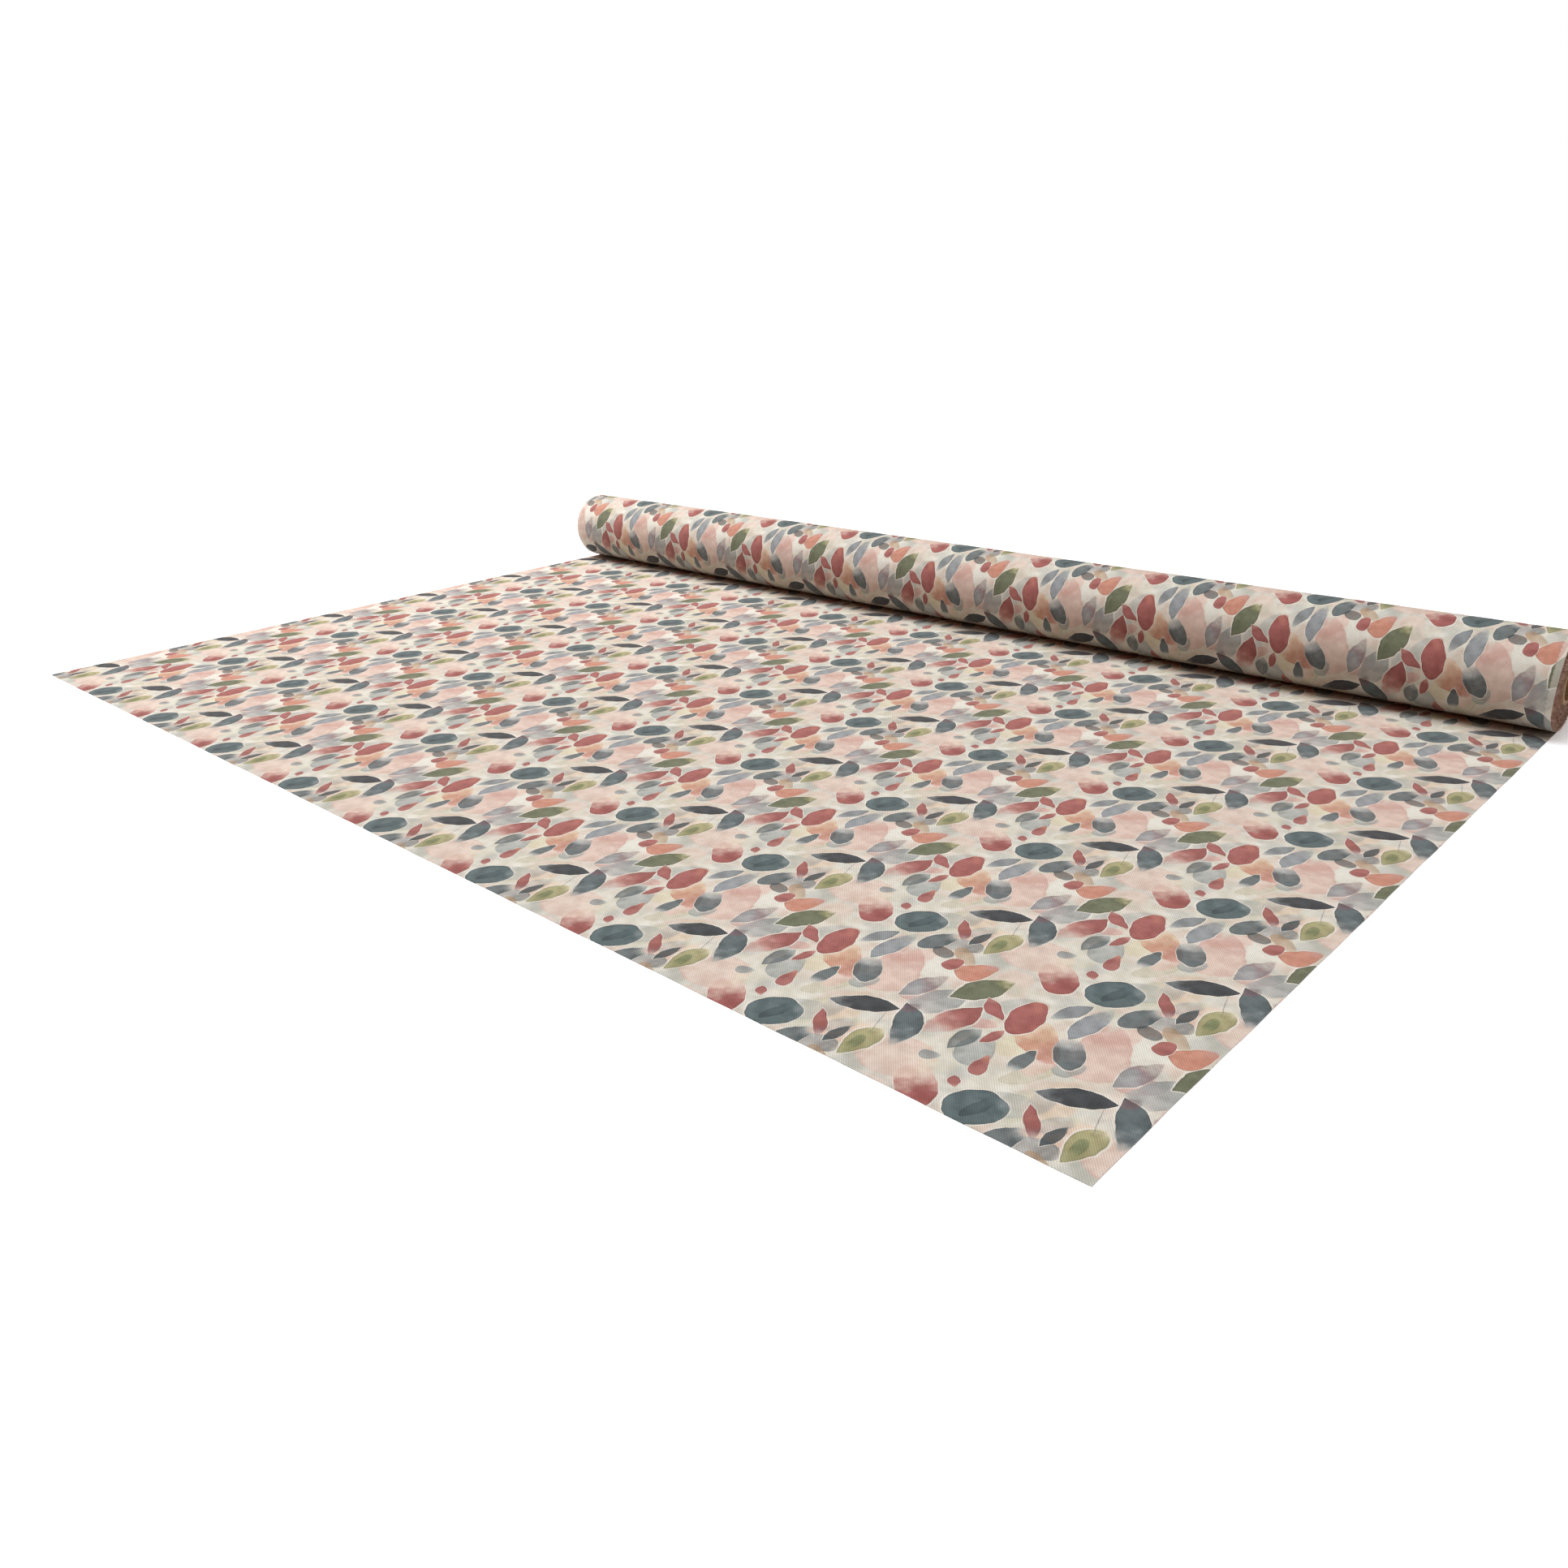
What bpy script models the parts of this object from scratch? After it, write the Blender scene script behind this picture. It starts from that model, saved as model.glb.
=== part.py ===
"""A bolt of printed cloth: a long roll on a cardboard tube, with its free end laid out flat.

Metres, +Z up. X runs along the roll, the laid end runs towards -Y, and the floor is at z = 0.
The origin is on the floor, in the middle of the whole object.
"""

import math

import bmesh
import bpy
from mathutils import Matrix, Vector

# Driving sizes
CLOTH_WIDTH = 1.500           # across the cloth, selvage to selvage, and so along the roll
SHEET_LENGTH = 0.910          # the part laid flat, from its cut edge to under the roll's axis
ROLL_RADIUS = 0.0509          # outside of the outermost turn
CLOTH_THICKNESS = 0.0005
TUBE_PROUD = 0.002            # how far the tube stands out of the cloth at each end
TUBE_BORE_RADIUS = 0.0190
PLY_THICKNESS = 0.0011        # one of the tube's three plies of card
TAPE_WIDTH = 0.050            # each strip that holds the cloth's starting edge, along the tube
TAPE_ARC = math.radians(75)   # and how far it reaches round the tube
TAPE_THICKNESS = 0.0003
TAPE_INSET = 0.120            # from an end of the cloth to the middle of the outer strips
LEAD_LENGTH = 0.030           # the cloth in front of the roll that travels with it
LEAD_RISE = math.radians(14)  # how far the cloth follows the roll behind the axis
GAP = 0.0003                  # clearance between pieces that touch

# Worked out from them
TUBE_LENGTH = CLOTH_WIDTH + 2 * TUBE_PROUD
PLY_PITCH = PLY_THICKNESS + GAP
TUBE_RADIUS = TUBE_BORE_RADIUS + 2 * PLY_PITCH + PLY_THICKNESS
TAPE_RADIUS = TUBE_RADIUS + GAP
PACK_INNER_RADIUS = TAPE_RADIUS + TAPE_THICKNESS + GAP
PACK_OUTER_RADIUS = ROLL_RADIUS - CLOTH_THICKNESS - GAP
AXIS_Y = (SHEET_LENGTH - ROLL_RADIUS) / 2
AXIS_Z = CLOTH_THICKNESS + GAP + ROLL_RADIUS
AXIS = Vector((0.0, AXIS_Y, AXIS_Z))
ALONG_ROLL = Matrix.Rotation(math.pi / 2, 4, "Y")   # turns a piece's own Z onto the roll's axis

RING_STEPS = 96


def clear_scene():
    for old in list(bpy.data.objects):
        bpy.data.objects.remove(old, do_unlink=True)


def new_collection(name):
    collection = bpy.data.collections.new(name)
    bpy.context.scene.collection.children.link(collection)
    return collection


def make_material(name, colour, roughness):
    material = bpy.data.materials.new(name)
    material.use_nodes = True
    shader = material.node_tree.nodes["Principled BSDF"]
    shader.inputs["Base Color"].default_value = (*colour, 1.0)
    shader.inputs["Roughness"].default_value = roughness
    shader.inputs["Metallic"].default_value = 0.0
    return material


def make_joint_empty(name, collection, parent=None):
    """An empty on the roll's axis, which a moving group of pieces hangs from."""
    empty = bpy.data.objects.new(name, None)
    empty.empty_display_size = 0.1
    collection.objects.link(empty)
    if parent is None:
        empty.location = AXIS
    else:
        empty.parent = parent
    return empty


def add_piece(name, mesh, material, collection, parent=None, place=Matrix.Identity(4)):
    piece = bpy.data.objects.new(name, mesh)
    collection.objects.link(piece)
    piece.data.materials.append(material)
    piece.parent = parent
    piece.matrix_basis = place
    return piece


def add_screw(piece, angle, steps):
    screw = piece.modifiers.new("turn", "SCREW")
    screw.axis = "Z"
    screw.angle = angle
    screw.steps = screw.render_steps = steps
    screw.use_merge_vertices = angle >= 2 * math.pi
    screw.merge_threshold = 0.00005
    screw.use_smooth_shade = True


def add_solidify(piece, thickness, offset):
    wall = piece.modifiers.new("thickness", "SOLIDIFY")
    wall.thickness = thickness
    wall.offset = offset


def line_mesh(name, points, closed=False):
    mesh = bpy.data.meshes.new(name)
    bm = bmesh.new()
    verts = [bm.verts.new(p) for p in points]
    for a, b in zip(verts, verts[1:]):
        bm.edges.new((a, b))
    if closed:
        bm.edges.new((verts[-1], verts[0]))
    bm.to_mesh(mesh)
    bm.free()
    return mesh


def make_ring(name, inner, outer, length, material, collection, parent):
    """A straight tube wall round the roll's axis: its section goes down the outside, then up the bore."""
    half = length / 2
    section = [(outer, 0, half), (outer, 0, -half), (inner, 0, -half), (inner, 0, half)]
    ring = add_piece(name, line_mesh(name, section, closed=True), material, collection, parent, ALONG_ROLL)
    add_screw(ring, 2 * math.pi, RING_STEPS)
    return ring


def make_tape(name, centre_x, material, collection, parent):
    """A strip bent round the tube, over the edge that the winding starts from."""
    middle = TAPE_RADIUS + TAPE_THICKNESS / 2
    section = [(middle, 0, TAPE_WIDTH / 2), (middle, 0, -TAPE_WIDTH / 2)]
    place = Matrix.Translation((centre_x, 0, 0)) @ ALONG_ROLL
    tape = add_piece(name, line_mesh(name, section), material, collection, parent, place)
    add_screw(tape, TAPE_ARC, 20)
    add_solidify(tape, TAPE_THICKNESS, 0)
    return tape


def make_laid_sheet(material, collection):
    """The flat end of the cloth, from its cut front edge to just short of the roll."""
    front = AXIS_Y - SHEET_LENGTH
    back = AXIS_Y - LEAD_LENGTH - GAP
    mesh = bpy.data.meshes.new("laid_sheet")
    bm = bmesh.new()
    size = Matrix.Diagonal((CLOTH_WIDTH, back - front, CLOTH_THICKNESS, 1.0))
    bmesh.ops.create_cube(bm, size=1.0, matrix=size)
    bm.to_mesh(mesh)
    bm.free()
    place = Matrix.Translation((0, (front + back) / 2, CLOTH_THICKNESS / 2))
    return add_piece("laid_sheet", mesh, material, collection, place=place)


def make_lead_off(material, collection, parent):
    """The cloth under the roll: flat in front of the axis, and bending up round the roll behind it."""
    bend = ROLL_RADIUS + GAP
    steps = 6
    section = [(-CLOTH_WIDTH / 2, -LEAD_LENGTH, -bend)]
    for step in range(steps + 1):
        angle = LEAD_RISE * step / steps
        section.append((-CLOTH_WIDTH / 2, bend * math.sin(angle), -bend * math.cos(angle)))
    mesh = line_mesh("lead_off", section)
    bm = bmesh.new()
    bm.from_mesh(mesh)
    across = bmesh.ops.extrude_edge_only(bm, edges=bm.edges[:])
    verts = [v for v in across["geom"] if isinstance(v, bmesh.types.BMVert)]
    bmesh.ops.translate(bm, verts=verts, vec=(CLOTH_WIDTH, 0, 0))
    for face in bm.faces:
        face.normal_update()
        if face.normal.z < 0:
            face.normal_flip()
    bm.to_mesh(mesh)
    bm.free()
    lead = add_piece("lead_off", mesh, material, collection, parent)
    add_solidify(lead, CLOTH_THICKNESS, -1)
    return lead


def make_tube(material, collection, parent):
    """Three plies of card, wound one on the other."""
    for number, name in enumerate(("core_inner_ply", "core_middle_ply", "core_outer_ply")):
        inner = TUBE_BORE_RADIUS + number * PLY_PITCH
        make_ring(name, inner, inner + PLY_THICKNESS, TUBE_LENGTH, material, collection, parent)


def make_tapes(material, collection, parent):
    reach = CLOTH_WIDTH / 2 - TAPE_INSET
    for name, side in (("starter_tape_left", -1), ("starter_tape_middle", 0), ("starter_tape_right", 1)):
        make_tape(name, side * reach, material, collection, parent)


def make_winding(cloth, collection, parent):
    make_ring("wound_cloth", PACK_INNER_RADIUS, PACK_OUTER_RADIUS, CLOTH_WIDTH, cloth, collection, parent)
    make_ring("outer_turn", ROLL_RADIUS - CLOTH_THICKNESS, ROLL_RADIUS, CLOTH_WIDTH, cloth, collection, parent)


def main():
    clear_scene()
    pieces = new_collection("fabric_bolt")
    printed_cloth = make_material("printed_cloth", (0.72, 0.63, 0.54), 0.9)
    raw_card = make_material("raw_card", (0.42, 0.28, 0.17), 0.85)
    paper_tape = make_material("paper_tape", (0.70, 0.60, 0.42), 0.6)

    travelling = make_joint_empty("roll_travel_axis", pieces)
    turning = make_joint_empty("roll_turn_axis", pieces, parent=travelling)

    make_tube(raw_card, pieces, turning)
    make_tapes(paper_tape, pieces, turning)
    make_winding(printed_cloth, pieces, turning)
    make_lead_off(printed_cloth, pieces, travelling)
    make_laid_sheet(printed_cloth, pieces)


main()
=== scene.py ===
"""A bolt of printed decor cloth on its cardboard tube, with the free end laid out flat.

Looks only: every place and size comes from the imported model. Metres, +Z up, X along the roll.
"""

import math

import bpy
import numpy as np
from mathutils import Matrix, Vector


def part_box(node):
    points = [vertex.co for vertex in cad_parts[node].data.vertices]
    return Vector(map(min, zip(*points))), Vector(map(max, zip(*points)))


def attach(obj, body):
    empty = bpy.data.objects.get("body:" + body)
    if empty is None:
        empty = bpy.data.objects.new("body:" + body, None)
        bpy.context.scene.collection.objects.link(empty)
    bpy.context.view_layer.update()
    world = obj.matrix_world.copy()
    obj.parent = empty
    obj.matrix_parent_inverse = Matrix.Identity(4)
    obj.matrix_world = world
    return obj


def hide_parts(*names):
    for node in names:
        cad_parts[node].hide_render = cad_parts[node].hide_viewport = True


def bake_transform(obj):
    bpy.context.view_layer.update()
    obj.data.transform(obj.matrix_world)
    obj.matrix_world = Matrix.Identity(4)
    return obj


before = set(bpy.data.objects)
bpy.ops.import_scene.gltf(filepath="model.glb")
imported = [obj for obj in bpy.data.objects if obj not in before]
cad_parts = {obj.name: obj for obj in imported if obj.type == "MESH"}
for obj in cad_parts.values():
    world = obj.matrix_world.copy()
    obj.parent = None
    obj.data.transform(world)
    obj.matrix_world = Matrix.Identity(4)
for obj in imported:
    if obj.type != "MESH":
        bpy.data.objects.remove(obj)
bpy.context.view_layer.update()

MM = 0.001

# ---------------------------------------------------------------- sizes, from the frame

SHEET_LOW, SHEET_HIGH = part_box("laid_sheet")
TURN_LOW, TURN_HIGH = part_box("outer_turn")
PACK_LOW, PACK_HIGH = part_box("wound_cloth")
TUBE_LOW, TUBE_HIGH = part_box("core_outer_ply")

CLOTH_WIDTH = SHEET_HIGH[0] - SHEET_LOW[0]
CLOTH_THICK = SHEET_HIGH[2] - SHEET_LOW[2]
FRONT_Y = SHEET_LOW[1]
AXIS_Y = (TURN_LOW[1] + TURN_HIGH[1]) / 2
AXIS_Z = (TURN_LOW[2] + TURN_HIGH[2]) / 2
ROLL_RADIUS = (TURN_HIGH[2] - TURN_LOW[2]) / 2
TUBE_RADIUS = (TUBE_HIGH[2] - TUBE_LOW[2]) / 2
LAID_LENGTH = AXIS_Y - FRONT_Y

REPEAT = 160 * MM            # the print repeats at this step, across the cloth and along it
ROLL_PHASE = 0.070           # how far along its repeat the print is where the roll meets the sheet
SCATTER_SEED = 2
WIND_PITCH = 0.56 * MM       # one turn of cloth to the next
WOUND_THICK = 0.40 * MM      # the cloth where it is wound tight
SHARP_RIM = math.radians(50)


# ---------------------------------------------------------------- shader maths

class Socket:
    """A value in a material. Arithmetic on it adds Math nodes."""

    def __init__(self, paint, out):
        self.paint, self.out = paint, out

    def math(self, operation, *others):
        return self.paint.add("ShaderNodeMath", {"operation": operation}, [self, *others])

    def __add__(self, other):
        return self.math("ADD", other)

    def __sub__(self, other):
        return self.math("SUBTRACT", other)

    def __rsub__(self, other):
        return self.paint.add("ShaderNodeMath", {"operation": "SUBTRACT"}, [other, self])

    def __mul__(self, other):
        return self.math("MULTIPLY", other)

    def __truediv__(self, other):
        return self.math("DIVIDE", other)

    __radd__ = __add__
    __rmul__ = __mul__

    def sin(self):
        return self.math("SINE")

    def cos(self):
        return self.math("COSINE")

    def abs(self):
        return self.math("ABSOLUTE")

    def fract(self):
        return self.math("FRACT")

    def times_plus(self, factor, addend):
        """The value times the factor, plus the addend, in one node."""
        return self.math("MULTIPLY_ADD", factor, addend)

    def ramp(self, start, end, low=0.0, high=1.0):
        """Smoothly from low at start to high at end, and level outside them."""
        settings = {"interpolation_type": "SMOOTHSTEP", "clamp": False}
        return self.paint.add("ShaderNodeMapRange", settings, [self, start, end, low, high])


class Paint:
    """A material under construction."""

    def __init__(self, name):
        self.material = bpy.data.materials.new(name)
        self.material.use_nodes = True
        self.tree = self.material.node_tree
        self.shader = self.tree.nodes["Principled BSDF"]

    def add(self, kind, settings, inputs=(), output=0):
        """Adds a node: its settings first, then its inputs by place or name. Gives one of its outputs."""
        node = self.tree.nodes.new(kind)
        for key, value in settings.items():
            if key == "stops":
                self.set_stops(node.color_ramp, value)
            else:
                setattr(node, key, value)
        pairs = inputs.items() if isinstance(inputs, dict) else enumerate(inputs)
        for key, value in pairs:
            self.feed(node.inputs[key], value)
        return Socket(self, node.outputs[output])

    def set_stops(self, ramp, stops):
        while len(ramp.elements) < len(stops):
            ramp.elements.new(1.0)
        for element, (place, colour) in zip(ramp.elements, stops):
            element.position = place
            element.color = colour

    def feed(self, socket, value):
        if isinstance(value, Socket):
            self.tree.links.new(value.out, socket)
        else:
            if isinstance(value, tuple) and socket.type == "RGBA" and len(value) == 3:
                value = (*value, 1.0)
            socket.default_value = value

    def mix(self, factor, a, b, blend_type="MIX"):
        """Colour a, going to colour b."""
        settings = {"data_type": "RGBA", "blend_type": blend_type}
        return self.add("ShaderNodeMix", settings, {0: factor, 6: a, 7: b}, output=2)

    def vector(self, operation, *inputs, output=0):
        return self.add("ShaderNodeVectorMath", {"operation": operation}, list(inputs), output=output)

    def part(self, vector, number):
        """A vector's x, y or z alone. A Separate XYZ node would hold memory for all three."""
        pick = tuple(float(number == place) for place in range(3))
        return self.vector("DOT_PRODUCT", vector, pick, output=1)

    def join(self, x, y, z):
        return self.add("ShaderNodeCombineXYZ", {}, [x, y, z])

    def uv(self, name):
        return self.add("ShaderNodeUVMap", {"uv_map": name})

    def place(self):
        return self.add("ShaderNodeTexCoord", {}, output=3)

    def noise(self, vector, scale, detail=2.0, w=None, output=0):
        settings = {"noise_dimensions": "4D" if w else "3D"}
        inputs = {"Vector": vector, "Scale": scale, "Detail": detail}
        if w:
            inputs["W"] = w
        return self.add("ShaderNodeTexNoise", settings, inputs, output=output)

    def finish(self, **sockets):
        for name, value in sockets.items():
            self.feed(self.shader.inputs[name.replace("_", " ")], value)
        return self.material

    def bump(self, height, strength, distance):
        return self.add("ShaderNodeBump", {}, {"Strength": strength, "Distance": distance, "Height": height})


def srgb(red, green, blue):
    """A paint-chart colour, 0 to 255, as the linear numbers that shaders take."""
    def linear(c):
        c = c / 255
        return c / 12.92 if c <= 0.04045 else ((c + 0.055) / 1.055) ** 2.4
    return (linear(red), linear(green), linear(blue))


# ---------------------------------------------------------------- the print

IVORY = srgb(222, 215, 204)
SLATE = srgb(84, 96, 99)
SLATE_PALE = srgb(160, 164, 163)
TEAL = srgb(84, 100, 103)
TEAL_DEEP = srgb(62, 74, 78)
CHARCOAL = srgb(58, 63, 68)
SAGE = srgb(104, 109, 86)
OLIVE = srgb(150, 147, 104)
OLIVE_DEEP = srgb(108, 120, 86)
ROSE = srgb(154, 88, 84)
ROSE_PALE = srgb(194, 148, 138)
TERRACOTTA = srgb(190, 126, 104)
PEACH = srgb(214, 187, 160)
BLUSH = srgb(212, 184, 171)
MAUVE = srgb(122, 92, 98)
STRAW = srgb(212, 203, 172)

# A motif: its shape, where its middle is from its group's (mm), length, width (mm), angle (degrees),
# its colour, the colour it pales to, how much it pales (above 0 at its far end, below 0 at its near
# end), how much it covers, and how it lies: "ink" has a dark rim and a pale halo, "water" neither, and
# "drop" is water over ink.
SPRIG = [
    ("leaf", -17, 14, 49, 18, 24, CHARCOAL, SLATE_PALE, -0.35, 0.98, "ink"),
    ("hook", 18, 12, 50, 21, -66, SLATE, SLATE_PALE, 0.5, 0.97, "ink"),
    ("bud", 8, -22, 40, 22, -98, OLIVE, STRAW, -0.3, 0.9, "ink"),
    ("oval", 7, -25, 17, 9, -96, OLIVE_DEEP, OLIVE, 0.4, 0.75, "drop"),
    ("leaf", 3, 2, 32, 0.8, -74, SLATE, SLATE, 0.0, 0.6, "drop"),
    ("petal", -12, -14, 26, 12, 60, SLATE_PALE, STRAW, 0.5, 0.6, "water"),
]
BERRY = [
    ("oval", 0, 0, 40, 34, 38, TEAL, SLATE_PALE, 0.15, 0.97, "ink"),
    ("oval", 2, 1, 28, 9, 70, TEAL_DEEP, TEAL, 0.6, 0.8, "drop"),
    ("leaf", -24, 14, 13, 8, -50, ROSE, ROSE_PALE, 0.3, 0.92, "ink"),
    ("oval", 14, 14, 34, 24, 40, SLATE_PALE, SLATE_PALE, 0.5, 0.55, "water"),
]
PETALS = [
    ("oval", 0, 0, 44, 22, 96, ROSE, TERRACOTTA, 0.2, 0.97, "ink"),
    ("leaf", -5, -32, 22, 9, 76, ROSE, ROSE_PALE, 0.3, 0.94, "ink"),
    ("petal", 21, -18, 50, 25, -40, TERRACOTTA, PEACH, -0.8, 0.88, "water"),
]
CLUMP = [
    ("oval", -10, 2, 32, 17, 70, SLATE, SLATE_PALE, 0.4, 0.92, "ink"),
    ("oval", 9, 9, 30, 17, 20, SLATE_PALE, TEAL, 0.7, 0.9, "water"),
    ("oval", 3, -8, 19, 13, -20, TEAL_DEEP, SLATE, 0.4, 0.85, "drop"),
    ("petal", 20, -5, 30, 11, -40, srgb(170, 142, 112), STRAW, 0.5, 0.75, "water"),
    ("leaf", 12, 24, 24, 9, 82, TEAL_DEEP, SLATE, 0.4, 0.9, "ink"),
]
CROSSED = [
    ("leaf", 0, 0, 42, 16, 74, srgb(146, 148, 150), MAUVE, 0.9, 0.9, "ink"),
    ("leaf", 8, -8, 38, 16, 40, ROSE_PALE, MAUVE, 0.7, 0.7, "water"),
]
GROUPS = [
    SPRIG,
    BERRY,
    PETALS,
    CLUMP,
    CROSSED,
    [("oval", 0, 0, 43, 27, -52, ROSE, BLUSH, -0.9, 0.98, "ink")],
    [("leaf", 0, 0, 48, 23, 62, SAGE, OLIVE, 0.35, 0.98, "ink")],
    [("leaf", 0, 0, 50, 22, 74, ROSE, ROSE_PALE, -0.9, 0.95, "ink")],
    [("petal", 0, 0, 66, 36, 104, BLUSH, ROSE_PALE, 0.8, 0.9, "water")],
    [("oval", 0, 0, 54, 44, 10, BLUSH, PEACH, 0.5, 0.75, "water")],
    [("oval", 0, 0, 46, 24, 66, srgb(142, 148, 148), SLATE_PALE, -0.8, 0.85, "water"),
     ("leaf", -8, -16, 16, 9, 60, MAUVE, SLATE_PALE, 0.6, 0.6, "drop")],
    [("leaf", 0, 0, 48, 16, 82, srgb(134, 141, 146), SLATE_PALE, 0.6, 0.92, "ink")],
    [("petal", 0, 0, 32, 20, 60, TERRACOTTA, ROSE_PALE, 0.4, 0.9, "ink")],
    [("leaf", 0, 0, 28, 11, -36, ROSE, ROSE_PALE, -0.4, 0.95, "ink")],
    [("leaf", 0, 0, 34, 10, -58, ROSE, MAUVE, 0.5, 0.93, "ink")],
    [("petal", 0, 0, 18, 12, 84, ROSE, ROSE_PALE, 0.3, 0.95, "ink")],
    [("leaf", 0, 0, 32, 13, 66, srgb(124, 129, 132), SLATE_PALE, -0.5, 0.93, "ink")],
    [("oval", 0, 0, 34, 24, 100, srgb(140, 147, 148), SLATE_PALE, 0.7, 0.75, "water"),
     ("leaf", -13, 6, 30, 14, 80, SLATE, SLATE_PALE, 0.5, 0.85, "drop")],
    [("petal", 0, 0, 16, 11, 20, ROSE_PALE, BLUSH, 0.5, 0.8, "water")],
    [("oval", 0, 0, 38, 14, 58, srgb(192, 184, 160), STRAW, 0.5, 0.7, "water")],
    [("oval", 0, 0, 34, 20, 118, SLATE, SLATE_PALE, 0.7, 0.9, "ink"),
     ("oval", 8, -14, 22, 14, 60, srgb(146, 152, 150), SLATE_PALE, 0.6, 0.8, "water")],
    [("leaf", 0, 0, 30, 12, 84, SLATE, SLATE_PALE, -0.6, 0.92, "ink"),
     ("petal", 12, 2, 26, 13, 64, BLUSH, ROSE_PALE, 0.6, 0.8, "water")],
    [("petal", 0, 0, 22, 10, 100, ROSE, TERRACOTTA, 0.5, 0.92, "ink")],
    [("petal", 0, 0, 15, 10, 30, srgb(140, 146, 146), SLATE_PALE, 0.5, 0.85, "ink")],
]
WASHES = [(STRAW, 0.7), (BLUSH, 0.7), (SLATE_PALE, 0.5), (PEACH, 0.7), (BLUSH, 0.75), (SLATE_PALE, 0.5),
          (STRAW, 0.6), (srgb(192, 190, 166), 0.6), (PEACH, 0.5), (SLATE_PALE, 0.5), (BLUSH, 0.7)]


INK_ROOM, WATER_ROOM = 0.52, 0.18   # how much of a motif's width it keeps to itself, each side
SHOVES = 600
SHOVE_SHARE = 0.08


def scatter(rng):
    """Spreads the groups evenly over one repeat, which meets itself at its edges.

    Each motif is a row of discs, and discs of different groups that overlap push their groups apart.
    """
    side = REPEAT / MM
    spots = rng.uniform(0, side, (len(GROUPS), 2))
    owner, offset, radius = [], [], []
    for number, group in enumerate(GROUPS):
        for kind, across, along, length, width, angle, *_, lies in group:
            if lies == "drop":
                continue
            turn = math.radians(angle)
            count = max(1, round(length / width * 1.3))
            for step in (np.arange(count) + 0.5) / count - 0.5:
                reach = step * (length - width * 0.6)
                owner.append(number)
                offset.append((across + reach * math.cos(turn), along + reach * math.sin(turn)))
                radius.append(width * (INK_ROOM if lies == "ink" else WATER_ROOM))
    owner, offset, radius = np.array(owner), np.array(offset), np.array(radius)
    same = owner[:, None] == owner[None]
    reach = radius[:, None] + radius[None]
    for _ in range(SHOVES):
        discs = spots[owner] + offset
        apart = (discs[:, None] - discs[None] + side / 2) % side - side / 2
        distance = np.maximum(np.linalg.norm(apart, axis=2), 0.1)
        push = np.where(same, 0, np.clip(reach - distance, 0, None) / distance)
        move = np.zeros_like(spots)
        np.add.at(move, owner, (apart * push[..., None]).sum(axis=1))
        spots = (spots + SHOVE_SHARE * move) % side
    return spots


def motif_place(paint, cloth, across, along, length, width, angle):
    """How far along a motif and how far across it a point is, each from -1 to 1."""
    half = REPEAT / 2
    centre = Vector((float(across) * MM, float(along) * MM, 0))
    wrapped = paint.vector("WRAP", cloth, tuple(centre + Vector((half, half, half))),
                           tuple(centre - Vector((half, half, half))))
    ways = []
    for size, turn in ((length, math.radians(angle)), (width, math.radians(angle + 90))):
        way = Vector((math.cos(turn), math.sin(turn), 0)) / (size * MM / 2)
        ways.append(paint.vector("DOT_PRODUCT", wrapped, tuple(way), output=1) - way.dot(centre))
    return ways


def around_repeat(paint, uv):
    """Turns the repeat into a ring in four dimensions, so that noise read there repeats with the print."""
    u = paint.part(uv, 0) * (math.tau / REPEAT)
    v = paint.part(uv, 1) * (math.tau / REPEAT)
    return paint.join(u.cos(), u.sin(), v.cos()), v.sin()


OUTLINE = 0.8              # a motif's outline, and where its halo ends, on the scale of shape_of
HALO_END = 0.94
TIP_REACH = 1 / OUTLINE    # how much wider a pointed shape is set, so that its outline is its true width
ROUND_REACH = 1.118        # the same for the square root of the scale, which lengths and rounds go by


def shape_of(kind, a, b):
    """How far out of a motif a point is, from 0 in its middle to OUTLINE."""
    if kind == "leaf":
        return a.times_plus(a, b.abs())
    if kind == "hook":
        bent = b + a.times_plus(a, -0.3) * 0.45
        return a.times_plus(a, bent.abs())
    if kind == "bud":
        return a.times_plus(a, (b * a.times_plus(0.55, 1.15)).abs())
    if kind == "petal":
        b = b * a.times_plus(0.42, 1.0)
    return a.times_plus(a, b * b)


def shade(colour, factor):
    return tuple(c * factor for c in colour)


def ink_stops(colour, cover):
    """Across an inked motif, from its middle out: even colour, a dark rim, then a halo of bare cloth."""
    return [
        (0.0, (*colour, cover)),
        (0.66, (*shade(colour, 0.98), cover)),
        (0.74, (*shade(colour, 0.88), cover)),
        (OUTLINE - 0.012, (*shade(colour, 0.66), cover)),
        (OUTLINE + 0.010, (*IVORY, 0.95)),
        (0.86, (*IVORY, 0.8)),
        (HALO_END, (*IVORY, 0.0)),
    ]


def water_stops(colour, cover):
    """Across a watery motif: thin in the middle, a little more colour at the outline, and no halo."""
    return [
        (0.0, (*colour, cover * 0.85)),
        (0.60, (*colour, cover * 0.9)),
        (0.76, (*shade(colour, 0.93), cover)),
        (OUTLINE, (*shade(colour, 0.88), cover * 0.95)),
        (OUTLINE + 0.035, (*colour, cover * 0.1)),
        (HALO_END, (*colour, 0.0)),
    ]


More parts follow.
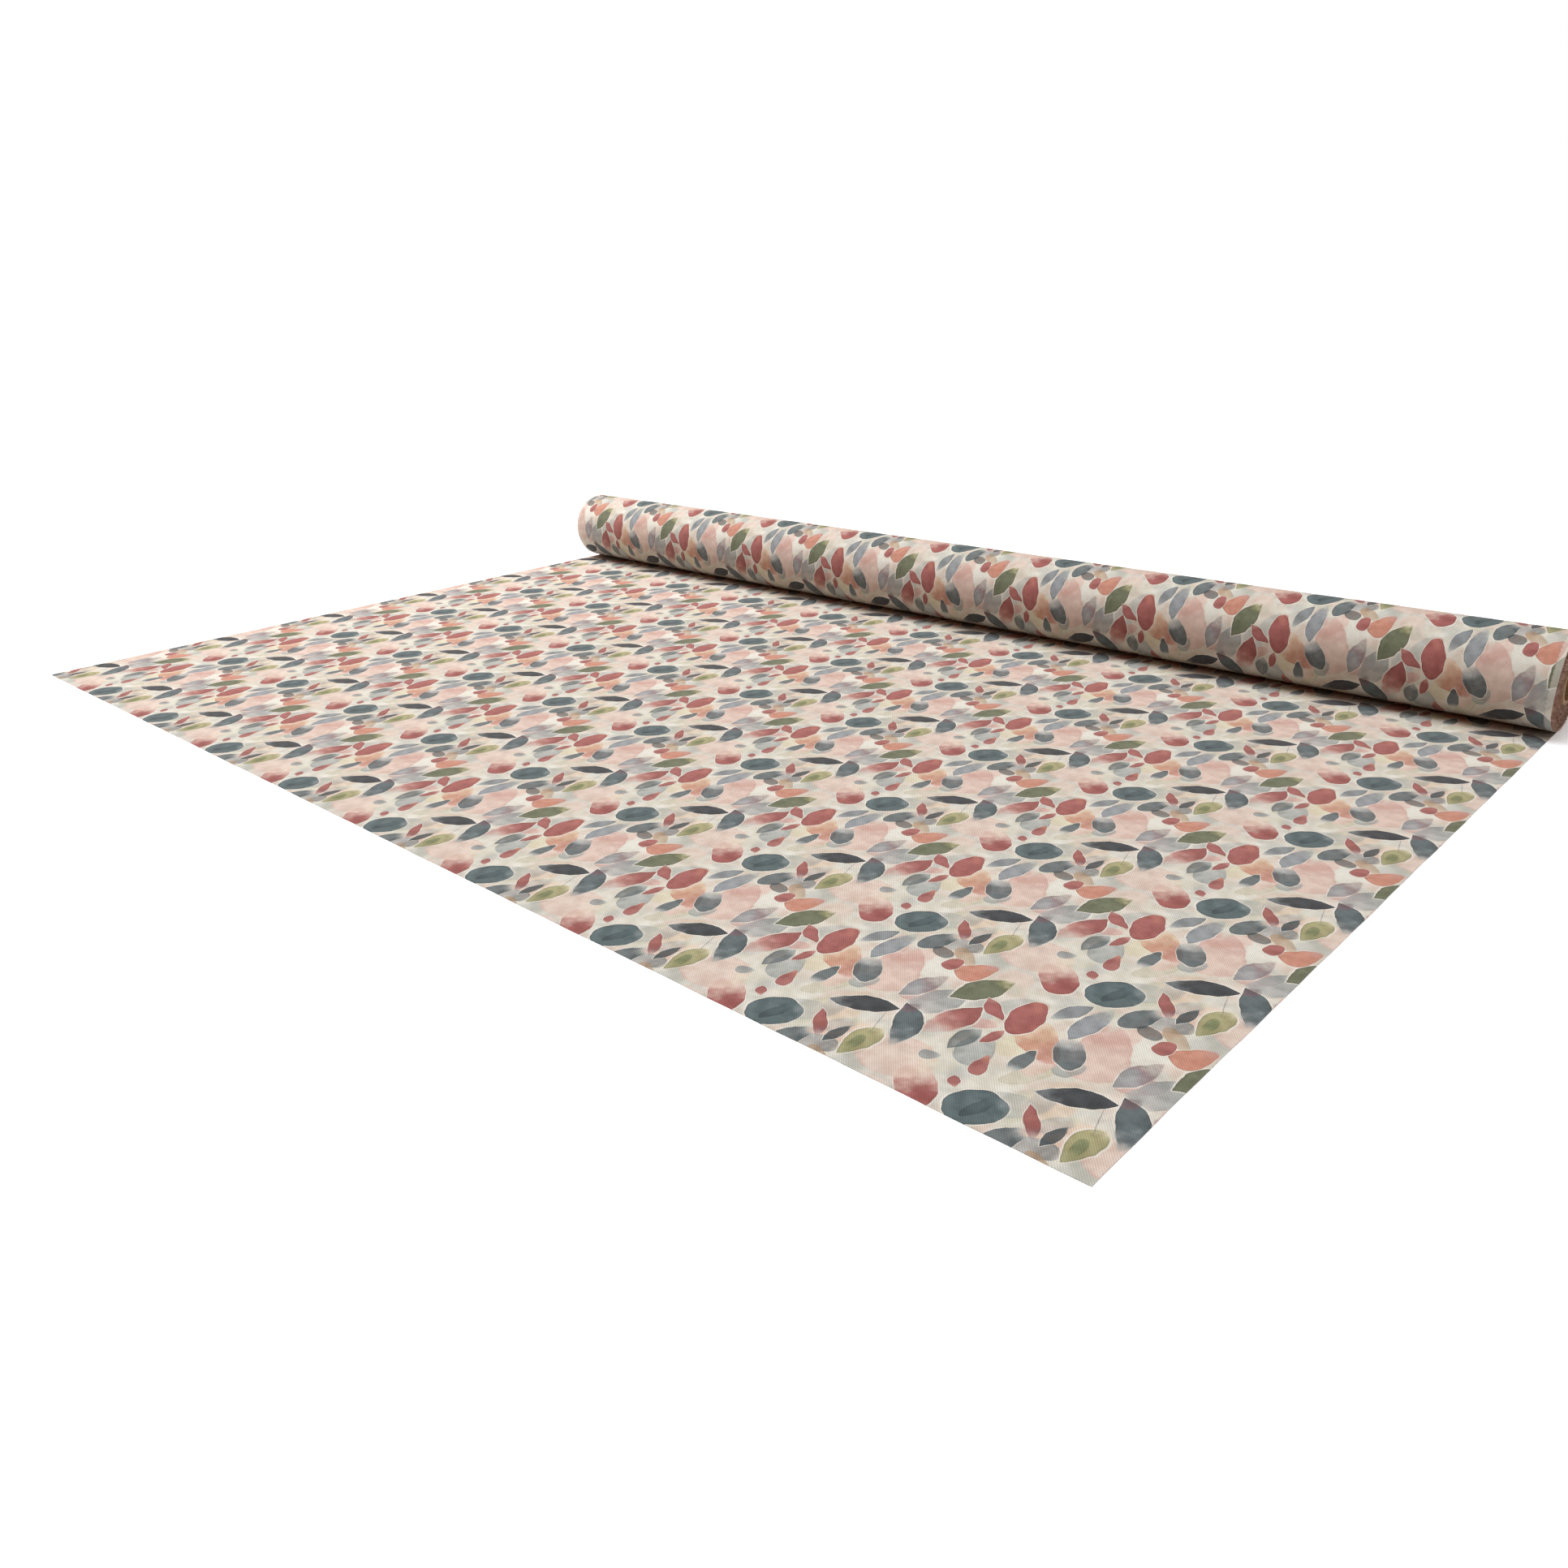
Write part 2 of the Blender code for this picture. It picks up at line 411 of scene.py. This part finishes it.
def paint_motif(paint, below, cloth, spot, slip, motif):
    """One motif over the colours below it. Where it pales, its rim and halo melt away too."""
    kind, across, along, length, width, angle, tint, pale, fade, cover, lies = motif
    outer = TIP_REACH if kind in ("leaf", "hook", "bud") else ROUND_REACH
    place = (spot[0] + across, spot[1] + along, length * ROUND_REACH, width * outer, angle)
    a, b = motif_place(paint, cloth, *place)
    far_out = shape_of(kind, a, b)
    stops = (ink_stops if lies == "ink" else water_stops)(tint, cover)
    ink = paint.add("ShaderNodeValToRGB", {"stops": stops}, [far_out])
    alpha = Socket(paint, ink.out.node.outputs[1])
    if fade:
        gone = (a + slip) if fade > 0 else (slip - a)
        start = 0.7 - 1.1 * abs(fade)
        ink = paint.mix(gone.ramp(start, start + 0.8), ink, pale)
        alpha = alpha * gone.ramp(start + 0.4, 1.15, 1.0, 0.2)
    return paint.mix(alpha, below, ink)


DRIFT = 4 * MM             # how far brushwork wanders from a true outline
POOLING = 0.32             # how strongly the paint has dried in pools


def print_colours(paint, uv):
    """The repeat of leaves and petals, in watercolour, on cream."""
    rng = np.random.default_rng(SCATTER_SEED)
    spots = scatter(rng)
    ring, ring_w = around_repeat(paint, uv)
    wander = paint.noise(ring, 1.4, detail=2.0, w=ring_w, output=1)
    mottle = paint.noise(ring, 2.2, detail=2.0, w=ring_w, output=1)
    patches = paint.noise(ring, 0.9, detail=2.0, w=ring_w, output=1)
    patch_a, patch_b, patch_c = (paint.part(patches, number) for number in range(3))
    drift = paint.vector("MULTIPLY_ADD", wander, (2 * DRIFT, 2 * DRIFT, 0), (-DRIFT, -DRIFT, 0))
    cloth = paint.vector("ADD", uv, drift)

    colour = paint.mix(patch_a.ramp(0.35, 0.65), srgb(216, 212, 200), srgb(204, 200, 185))
    colour = paint.mix(patch_b.ramp(0.45, 0.68, 0.0, 0.55), colour, BLUSH)
    colour = paint.mix(patch_c.ramp(0.50, 0.70, 0.0, 0.45), colour, SLATE_PALE)
    for tint, strength in WASHES:
        across, along = rng.uniform(0, REPEAT / MM, 2)
        length, angle = rng.uniform(34, 62), rng.uniform(30, 110)
        a, b = motif_place(paint, cloth, across, along, length, length * 0.5, angle)
        colour = paint.mix(shape_of("oval", a, b).ramp(1.0, 0.55, 0.0, strength), colour, tint)
    slip = paint.part(mottle, 1).times_plus(1.3, -0.65)
    layers = [(motif, spot) for spot, group in zip(spots, GROUPS) for motif in group]
    for layer in ("water", "ink", "drop"):
        for motif, spot in layers:
            if motif[-1] == layer:
                colour = paint_motif(paint, colour, cloth, spot, slip, motif)
    pooled = paint.part(mottle, 0).ramp(0.32, 0.68, 0.12, 0.88)
    return paint.mix(POOLING, colour, paint.join(pooled, pooled, pooled), "SOFT_LIGHT")


TWILL_PITCH = 1.46 * MM     # from rib to rib
TWILL_LEAN = (0.781, 0.625)
SELVAGE = 7 * MM
PIN_STEP = 6 * MM           # between the holes that the printer's pins leave in a selvage
PIN_INSET = SELVAGE - 1 * MM
PIN_CORE, PIN_RIM = 0.35 * MM, 0.75 * MM


def printed_twill():
    """The printed face: painted shade between its ribs and in its pin holes, yarn and slub tone, ribs and
    slubs in bump, and a selvage where the Edge map comes near 0.
    """
    paint = Paint("printed_twill")
    uv = paint.uv("Cloth")
    colour = print_colours(paint, uv)
    u, v = paint.part(uv, 0), paint.part(uv, 1)

    ridge = ((u * TWILL_LEAN[0] + v * TWILL_LEAN[1]) * (math.tau / TWILL_PITCH)).sin()
    yarn = paint.noise(uv, 900.0, detail=2.0)
    slub = paint.noise(paint.vector("MULTIPLY", uv, (60.0, 900.0, 1.0)), 1.0, detail=2.0)
    # Painted shade: the grooves between the twill ribs are darkened in the colour itself, and yarn and slub
    # tone lightens it here and there.
    rib_shade_and_yarn_tone = ridge.times_plus(0.10, 0.88) + slub.times_plus(0.12, 0.0) + yarn.times_plus(0.12, -0.02)
    colour = paint.mix(1.0, colour, paint.join(rib_shade_and_yarn_tone, rib_shade_and_yarn_tone, rib_shade_and_yarn_tone), "MULTIPLY")

    inset = paint.part(paint.uv("Edge"), 0)
    margin = inset.ramp(SELVAGE, SELVAGE - 1.5 * MM, 0.0, 0.4)
    colour = paint.mix(margin, colour, IVORY)
    along = ((v / PIN_STEP).fract() - 0.5).abs() * PIN_STEP
    across = (inset - PIN_INSET).abs()
    pin_hole_and_shade = (along * along + across * across).ramp(PIN_RIM ** 2, PIN_CORE ** 2, 0.0, 0.75)
    # Painted shade: the pin holes are not cut through, so each is painted as a dark brown dot and made a dip
    # in the bump.
    colour = paint.mix(pin_hole_and_shade, colour, srgb(120, 104, 88))

    weave = ridge * 0.5 + yarn * 0.35 + slub * 0.5 - pin_hole_and_shade * 2.0
    normal = paint.bump(weave, 0.35, 0.3 * MM)
    paint.shader.inputs["Sheen Weight"].default_value = 0.35
    paint.shader.inputs["Sheen Roughness"].default_value = 0.45
    paint.shader.inputs["Sheen Tint"].default_value = (*srgb(236, 222, 212), 1.0)
    paint.shader.inputs["Specular IOR Level"].default_value = 0.15
    return paint.finish(Base_Color=colour, Roughness=0.92, Normal=normal)


def raw_edge():
    """Cut and woven edges, and the inner turns: the cloth's own yarn, with ink that has gone through,
    browned and darkened by painted shade.
    """
    paint = Paint("raw_edge")
    at = paint.place()
    blotch = paint.noise(at, 45.0, detail=3.0)
    fine = paint.noise(paint.vector("MULTIPLY", at, (250.0, 1400.0, 1400.0)), 1.0, detail=2.0)
    # Painted shade: the brown ground and the dark streaks stand for the shade and warm bounce between the
    # wound layers' edges; the red patches are ink that has gone through.
    colour = paint.mix(blotch.ramp(0.35, 0.65), srgb(154, 108, 90), srgb(196, 158, 134))
    colour = paint.mix(paint.noise(at, 90.0).ramp(0.56, 0.70, 0.0, 0.7), colour, srgb(160, 88, 78))
    colour = paint.mix(fine.ramp(0.35, 0.65, 0.0, 0.45), colour, srgb(100, 66, 54))
    normal = paint.bump(fine, 0.6, 0.4 * MM)
    paint.shader.inputs["Sheen Weight"].default_value = 0.3
    paint.shader.inputs["Specular IOR Level"].default_value = 0.1
    return paint.finish(Base_Color=colour, Roughness=0.95, Normal=normal)


def loose_yarn():
    """Single threads, some of them darker than others."""
    paint = Paint("loose_yarn")
    tone = paint.noise(paint.place(), 160.0, detail=1.0)
    # Their brown is partly painted shade: it stands for the shade among the fringe's threads, and the darker
    # ones vary at random.
    colour = paint.mix(tone.ramp(0.4, 0.6), srgb(140, 96, 80), srgb(214, 180, 156))
    paint.shader.inputs["Sheen Weight"].default_value = 0.3
    return paint.finish(Base_Color=colour, Roughness=0.9)


def kraft_card():
    """The tube's brown card, with its fibres along the tube."""
    paint = Paint("kraft_card")
    at = paint.place()
    fibre = paint.noise(paint.vector("MULTIPLY", at, (90.0, 700.0, 700.0)), 1.0, detail=4.0)
    fleck = paint.noise(at, 420.0, detail=3.0)
    colour = paint.mix(fibre.ramp(0.3, 0.7), srgb(152, 118, 84), srgb(184, 150, 112))
    colour = paint.mix(fleck.ramp(0.6, 0.75, 0.0, 0.5), colour, srgb(112, 82, 56))
    normal = paint.bump(fibre * 0.6 + fleck * 0.6, 0.4, 0.3 * MM)
    return paint.finish(Base_Color=colour, Roughness=0.85, Normal=normal)


def crepe_tape():
    """Masking paper, crinkled across its length."""
    paint = Paint("crepe_tape")
    at = paint.place()
    crinkle = paint.noise(paint.vector("MULTIPLY", at, (160.0, 900.0, 900.0)), 1.0, detail=3.0)
    colour = paint.mix(crinkle.ramp(0.3, 0.7), srgb(204, 184, 136), srgb(222, 204, 160))
    return paint.finish(Base_Color=colour, Roughness=0.65, Normal=paint.bump(crinkle, 0.5, 0.4 * MM))


# ---------------------------------------------------------------- making pieces

def deselect_all():
    for o in bpy.context.selected_objects:
        o.select_set(False)


def points_of(piece):
    flat = np.empty(len(piece.data.vertices) * 3)
    piece.data.vertices.foreach_get("co", flat)
    return flat.reshape(-1, 3)


def flat_grid(name, across, along):
    """A flat grid, and where its points lie on it, from 0 to 1 across and along."""
    deselect_all()
    bpy.ops.mesh.primitive_grid_add(x_subdivisions=across, y_subdivisions=along, size=2)
    piece = bpy.context.object
    piece.name = piece.data.name = name
    flat = points_of(piece)
    return piece, (flat[:, 0] + 1) / 2, (flat[:, 1] + 1) / 2


def place_points(piece, points):
    piece.data.vertices.foreach_set("co", np.asarray(points, dtype=np.float32).ravel())
    piece.data.update()


def map_cloth(piece, u, v, inset=None):
    """Gives the piece two maps in metres: its place on the cloth, and how far in it is from a selvage."""
    corner = np.empty(len(piece.data.loops), dtype=np.int64)
    piece.data.loops.foreach_get("vertex_index", corner)
    if inset is None:
        inset = np.full_like(u, CLOTH_WIDTH / 2)
    piece.data.uv_layers[0].name = "Cloth"
    for name, first in (("Cloth", u), ("Edge", inset)):
        layer = piece.data.uv_layers.get(name) or piece.data.uv_layers.new(name=name)
        pairs = np.stack([first[corner], v[corner]], axis=1)
        layer.data.foreach_set("uv", pairs.astype(np.float32).ravel())


def select_only(piece):
    deselect_all()
    piece.select_set(True)
    bpy.context.view_layer.objects.active = piece


def apply_modifier(piece, kind, **settings):
    select_only(piece)
    modifier = piece.modifiers.new(kind.lower(), kind)
    for key, value in settings.items():
        setattr(modifier, key, value)
    bpy.ops.object.modifier_apply(modifier=modifier.name)


def edit(piece, *steps):
    """Runs edit-mode operators on the whole piece."""
    select_only(piece)
    bpy.ops.object.mode_set(mode="EDIT")
    bpy.ops.mesh.select_all(action="SELECT")
    for step, settings in steps:
        step(**settings)
    bpy.ops.object.mode_set(mode="OBJECT")


def thicken(piece, thick, *materials):
    """Gives a surface its cloth's thickness, inwards. Its last material is the one on its cut edges."""
    for material in materials:
        piece.data.materials.append(material)
    apply_modifier(piece, "SOLIDIFY", thickness=thick, offset=-1.0, use_even_offset=False,
                   material_offset_rim=len(materials) - 1)
    piece.data.shade_smooth()
    piece.data.set_sharp_from_angle(angle=SHARP_RIM)


def smooth_noise(rng, length, step):
    """Random numbers from -1 to 1 that change smoothly, with a new one every so many steps."""
    knots = rng.uniform(-1, 1, int(length / step) + 3)
    return np.interp(np.arange(length) / step, np.arange(len(knots)), knots)


def waves(rng, count, longest, shortest):
    """A few plane waves that add up to gentle, uneven ground from about -1 to 1."""
    lengths = np.geomspace(longest, shortest, count)
    turns = rng.uniform(0, math.tau, count)
    shifts = rng.uniform(0, math.tau, count)
    def height(x, y):
        total = np.zeros_like(x)
        for size, turn, shift in zip(lengths, turns, shifts):
            total += np.sin((x * math.cos(turn) + y * math.sin(turn)) * math.tau / size + shift)
        return total / math.sqrt(count * 2)
    return height


def on_roll(x, angle, radius):
    """Points round the roll's axis. The angle starts at the bottom and goes round by the back."""
    return np.stack([x, AXIS_Y + radius * np.sin(angle), AXIS_Z - radius * np.cos(angle)], axis=1)


UNDER_ROLL = 3 * MM            # how far the laid cloth goes on past the roll's lowest line
LAID_SWELL = 0.25 * MM         # how much the laid cloth's ground rises
LAID_HEM = 40 * MM             # how far in from its edges it takes to rise
EDGE_WANDER = 0.5 * MM         # how far its edges are from straight
PRESSED_FLAT = 0.07            # metres in front of the axis where the roll presses the cloth flat


def make_laid_cloth(twill):
    """The laid end: flat on the floor, from its cut edge to under the roll."""
    rng = np.random.default_rng(7)
    across, along = ((240, 150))
    length = LAID_LENGTH + UNDER_ROLL
    sheet, a, b = flat_grid("laid_cloth", across, along)
    u = a * CLOTH_WIDTH
    v = b * length
    ground = waves(rng, 7, 0.9, 0.16)(u, v)
    calm = np.clip((LAID_LENGTH - PRESSED_FLAT - v) / 0.20, 0, 1)
    rim = np.minimum(np.minimum(u, CLOTH_WIDTH - u), v)
    z = CLOTH_THICK + LAID_SWELL * calm * (ground + 1.1).clip(0) * (1 - np.exp(-rim / LAID_HEM))
    wander = waves(rng, 5, 0.7, 0.05)
    x = SHEET_LOW[0] + u + EDGE_WANDER * wander(v, u * 0) * (2 * a - 1)
    y = FRONT_Y + v + EDGE_WANDER * wander(u, v * 0) * (1 - b) ** 8
    place_points(sheet, np.stack([x, y, z], axis=1))
    map_cloth(sheet, u, v)
    thicken(sheet, CLOTH_THICK * 0.9, twill)
    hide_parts("laid_sheet", "lead_off")
    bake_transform(sheet)


DENT = 0.35 * MM               # how deep the outer turn's long dents are, and the ripple at its ends
END_RIPPLE = 0.30 * MM
RIPPLE_REACH = 12 * MM
TURN_SKEW = 0.6 * MM           # how unevenly the outer turn's ends line up


def make_outer_turn(twill, edge):
    """The outermost turn, which shows the print all round the roll."""
    rng = np.random.default_rng(11)
    across, around = ((200, 160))
    turn, a, b = flat_grid("printed_turn", across, around)
    u = a * CLOTH_WIDTH
    angle = b * math.tau
    axial = waves(rng, 6, 0.8, 0.12)
    dent = 0.5 + 0.5 * (axial(u, np.sin(angle) * 0.06) + axial(u + 0.3, np.cos(angle) * 0.06)) / 2
    inset = np.minimum(u, CLOTH_WIDTH - u)
    end = np.exp(-inset / RIPPLE_REACH)
    ripple = 0.5 + 0.5 * np.sin(angle * 5 + 6 * np.sin(angle) + u * 9)
    radius = ROLL_RADIUS - DENT * dent.clip(0, 1) - END_RIPPLE * end * ripple
    x = -CLOTH_WIDTH / 2 + u + TURN_SKEW * np.sin(angle * 3 + 1.0) * (2 * a - 1) ** 9
    place_points(turn, on_roll(x, angle, radius))
    map_cloth(turn, u, LAID_LENGTH + ROLL_PHASE - ROLL_RADIUS * angle, inset)
    edit(turn, (bpy.ops.mesh.remove_doubles, {"threshold": 0.00001}), (bpy.ops.mesh.flip_normals, {}))
    thicken(turn, WOUND_THICK, twill, edge)
    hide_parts("outer_turn")
    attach(turn, "roll")


STRIP_OUTER = ROLL_RADIUS - 1.35 * MM          # where the spiral ends, inside the outer turn
# The wound cloth's centre above the axis, which is 0 but for rounding
PACK_CENTRE = (PACK_HIGH[2] - AXIS_Z) - (PACK_HIGH[2] - PACK_LOW[2]) / 2
STRIP_INNER = PACK_CENTRE + TUBE_RADIUS + 1.1 * MM   # and where it starts, on the tape
SLOW_SHIFT, QUICK_SHIFT = 1.3 * MM, 0.8 * MM   # how far the edges of the turns wander sideways
EDGE_LIFT = 0.13 * MM                          # and up and down
EDGE_BACK = 0.5 * MM                           # how far inside the cloth's width they lie on the whole


def make_wound_turns(edge):
    """Every turn inside the outermost one, as one long strip wound into a spiral.

    Its columns lie close together near the two edges, and only those nearest an edge wander.
    """
    rng = np.random.default_rng(3)
    around = 64
    turns = (STRIP_OUTER - STRIP_INNER) / WIND_PITCH
    steps = int(turns * around)
    insets = np.array([0, 3, 9, 30]) * MM
    columns = len(insets) * 2
    strip, a, b = flat_grid("wound_turns", columns, steps)
    column = np.rint(a * columns).astype(int)
    row = np.rint(b * steps).astype(int)
    across = np.concatenate([insets, [CLOTH_WIDTH / 2], CLOTH_WIDTH - insets[::-1]])[column]
    side = np.sign(column - columns / 2)
    near_end = np.where((column <= 1) | (column >= columns - 1), 1.0, 0.0)
    drift = [SLOW_SHIFT * smooth_noise(rng, steps + 1, around * 1.3)
             + QUICK_SHIFT * smooth_noise(rng, steps + 1, around / 9) for _ in range(2)]
    shift = np.where(side > 0, drift[1][row], drift[0][row]) * near_end
    angle = b * turns * math.tau
    lift = EDGE_LIFT * smooth_noise(rng, steps + 1, around / 12)[row] * near_end
    radius = STRIP_INNER + WIND_PITCH * angle / math.tau + lift
    x = -CLOTH_WIDTH / 2 + across + shift - side * EDGE_BACK * near_end
    place_points(strip, on_roll(x, -angle, radius))
    length = float(WIND_PITCH / 2 * turns ** 2 * math.tau + STRIP_INNER * turns * math.tau)
    map_cloth(strip, across, b * length)
    thicken(strip, WOUND_THICK, edge)
    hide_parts("wound_cloth")
    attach(strip, "roll")


THREAD_ROOT, THREAD_TIP = 0.16 * MM, 0.05 * MM   # radii
THREAD_SHORT, THREAD_LONG = 1.5 * MM, 5.0 * MM
THREAD_LEAN = 0.6                                # sideways, for each unit of length
THREAD_SUNK = 0.8 * MM                           # the root's depth below the end of the cloth


def make_fray(yarn, side, rng):
    """Loose ends of weft that stand out of the winding's edge at one end of the roll."""
    count = 3200
    deselect_all()
    bpy.ops.mesh.primitive_cone_add(vertices=3, radius1=THREAD_ROOT, radius2=THREAD_TIP, depth=1.0)
    thread = bpy.context.object
    edit(thread, (bpy.ops.mesh.subdivide, {"number_cuts": 1}),
         (bpy.ops.mesh.remove_doubles, {"threshold": 1e-6}))
    points = points_of(thread)
    faces = [tuple(face.vertices) for face in thread.data.polygons]
    bpy.data.objects.remove(thread)

    inner, outer = TUBE_RADIUS + 2 * MM, ROLL_RADIUS - 0.6 * MM
    radius = np.sqrt(rng.uniform(inner ** 2, outer ** 2, count))
    angle = rng.uniform(0, math.tau, count)
    length = rng.uniform(THREAD_SHORT, THREAD_LONG, count)
    lean, droop = rng.uniform(-THREAD_LEAN, THREAD_LEAN, (2, count))
    along = points[:, 2] + 0.5
    reach = length[:, None] * along
    a = angle[:, None] + (points[:, 0] + reach * lean[:, None]) / radius[:, None]
    r = np.clip(radius[:, None] + points[:, 1] + reach * droop[:, None] * along * 0.8, inner, outer)
    x = side * (CLOTH_WIDTH / 2 - THREAD_SUNK + reach * (1 - 0.25 * (lean ** 2 + droop ** 2))[:, None])
    placed = on_roll(x.ravel(), a.ravel(), r.ravel())
    mesh = bpy.data.meshes.new("fray")
    mesh.from_pydata(placed.tolist(), [], [tuple(number * len(points) + corner for corner in face)
                                           for number in range(count) for face in faces])
    fray = bpy.data.objects.new("frayed_right_end" if side > 0 else "frayed_left_end", mesh)
    bpy.context.scene.collection.objects.link(fray)
    edit(fray, (bpy.ops.mesh.normals_make_consistent, {"inside": False}))
    mesh.materials.append(yarn)
    mesh.shade_smooth()
    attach(fray, "roll")
    return fray


def make_floor():
    """A wide pale floor, just under the cloth so that the two don't share a plane."""
    deselect_all()
    bpy.ops.mesh.primitive_plane_add(size=60)
    floor = bpy.context.object
    floor.name = "floor"
    floor.location.z = -0.2 * MM
    paint = Paint("pale_floor")
    floor.data.materials.append(paint.finish(Base_Color=(0.9, 0.9, 0.9), Roughness=1.0,
                                             Emission_Color=(1.0, 1.0, 1.0), Emission_Strength=0.3))


# ---------------------------------------------------------------- camera and light

CAMERA_FROM_AXIS = Vector((0.6734, -0.9397, 0.3011))   # in cloth widths, from under the roll's axis
CAMERA_YAW, CAMERA_PITCH, CAMERA_ROLL = (math.radians(a) for a in (43.51, 21.93, -1.77))
CAMERA_LENS = 29.23                                    # mm, on a square 36 mm frame


def make_camera():
    data = bpy.data.cameras.new("camera")
    data.lens, data.sensor_width, data.clip_end = CAMERA_LENS, 36.0, 100.0
    camera = bpy.data.objects.new("camera", data)
    bpy.context.scene.collection.objects.link(camera)
    spot = Vector((0, AXIS_Y, CLOTH_THICK)) + CAMERA_FROM_AXIS * CLOTH_WIDTH
    turn = (Matrix.Rotation(CAMERA_YAW, 4, "Z") @ Matrix.Rotation(math.pi / 2 - CAMERA_PITCH, 4, "X")
            @ Matrix.Rotation(CAMERA_ROLL, 4, "Z"))
    camera.matrix_world = Matrix.Translation(spot) @ turn
    bpy.context.scene.camera = camera


def add_lamp(name, kind, energy, colour, spot, aim, **settings):
    data = bpy.data.lights.new(name, kind)
    data.energy, data.color = energy, colour
    for key, value in settings.items():
        setattr(data, key, value)
    lamp = bpy.data.objects.new(name, data)
    bpy.context.scene.collection.objects.link(lamp)
    lamp.location = spot
    lamp.rotation_euler = (Vector(aim) - Vector(spot)).to_track_quat("-Z", "Y").to_euler()


def make_light():
    """A soft key from overhead, a wide one over the far corner, and a dim sky that is brown low down."""
    add_lamp("key", "SUN", 2.06, (0.99, 1.02, 1.05), (-0.7, AXIS_Y - 0.5, 3.0), (0, AXIS_Y, 0),
             angle=math.radians(30))
    add_lamp("far_corner", "AREA", 34.0, (1.0, 0.98, 0.97), (-1.7, 0.2, 1.6), (-0.8, 0, 0),
             shape="DISK", size=1.6)
    world = bpy.data.worlds.new("studio")
    world.use_nodes = True
    bpy.context.scene.world = world
    tree = world.node_tree
    height = tree.nodes.new("ShaderNodeSeparateXYZ")
    tree.links.new(tree.nodes.new("ShaderNodeTexCoord").outputs["Generated"], height.inputs[0])
    sky = tree.nodes.new("ShaderNodeValToRGB")
    for stop, place, colour in zip(sky.color_ramp.elements, (0.38, 0.95),
                                   ((0.09, 0.04, 0.02, 1), (0.50, 0.49, 0.475, 1))):
        stop.color, stop.position = colour, place
    tree.links.new(height.outputs["Z"], sky.inputs[0])
    dim = tree.nodes["Background"]
    tree.links.new(sky.outputs[0], dim.inputs["Color"])
    bright = tree.nodes.new("ShaderNodeBackground")
    bright.inputs["Color"].default_value = (1, 1, 1, 1)
    mix = tree.nodes.new("ShaderNodeMixShader")
    tree.links.new(tree.nodes.new("ShaderNodeLightPath").outputs["Is Camera Ray"], mix.inputs[0])
    tree.links.new(dim.outputs[0], mix.inputs[1])
    tree.links.new(bright.outputs[0], mix.inputs[2])
    tree.links.new(mix.outputs[0], tree.nodes["World Output"].inputs["Surface"])
    bpy.context.scene.view_settings.view_transform = "Standard"


def main():
    make_camera()
    make_light()
    make_floor()
    twill, edge, card, tape = printed_twill(), raw_edge(), kraft_card(), crepe_tape()
    for name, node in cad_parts.items():
        for start, material in (("core_", card), ("starter_tape_", tape)):
            if name.startswith(start):
                node.data.materials.clear()
                node.data.materials.append(material)
    make_laid_cloth(twill)
    make_outer_turn(twill, edge)
    rng, yarn = np.random.default_rng(21), loose_yarn()
    frays = [make_fray(yarn, side, rng) for side in (-1, 1)]
    make_wound_turns(edge)


main()
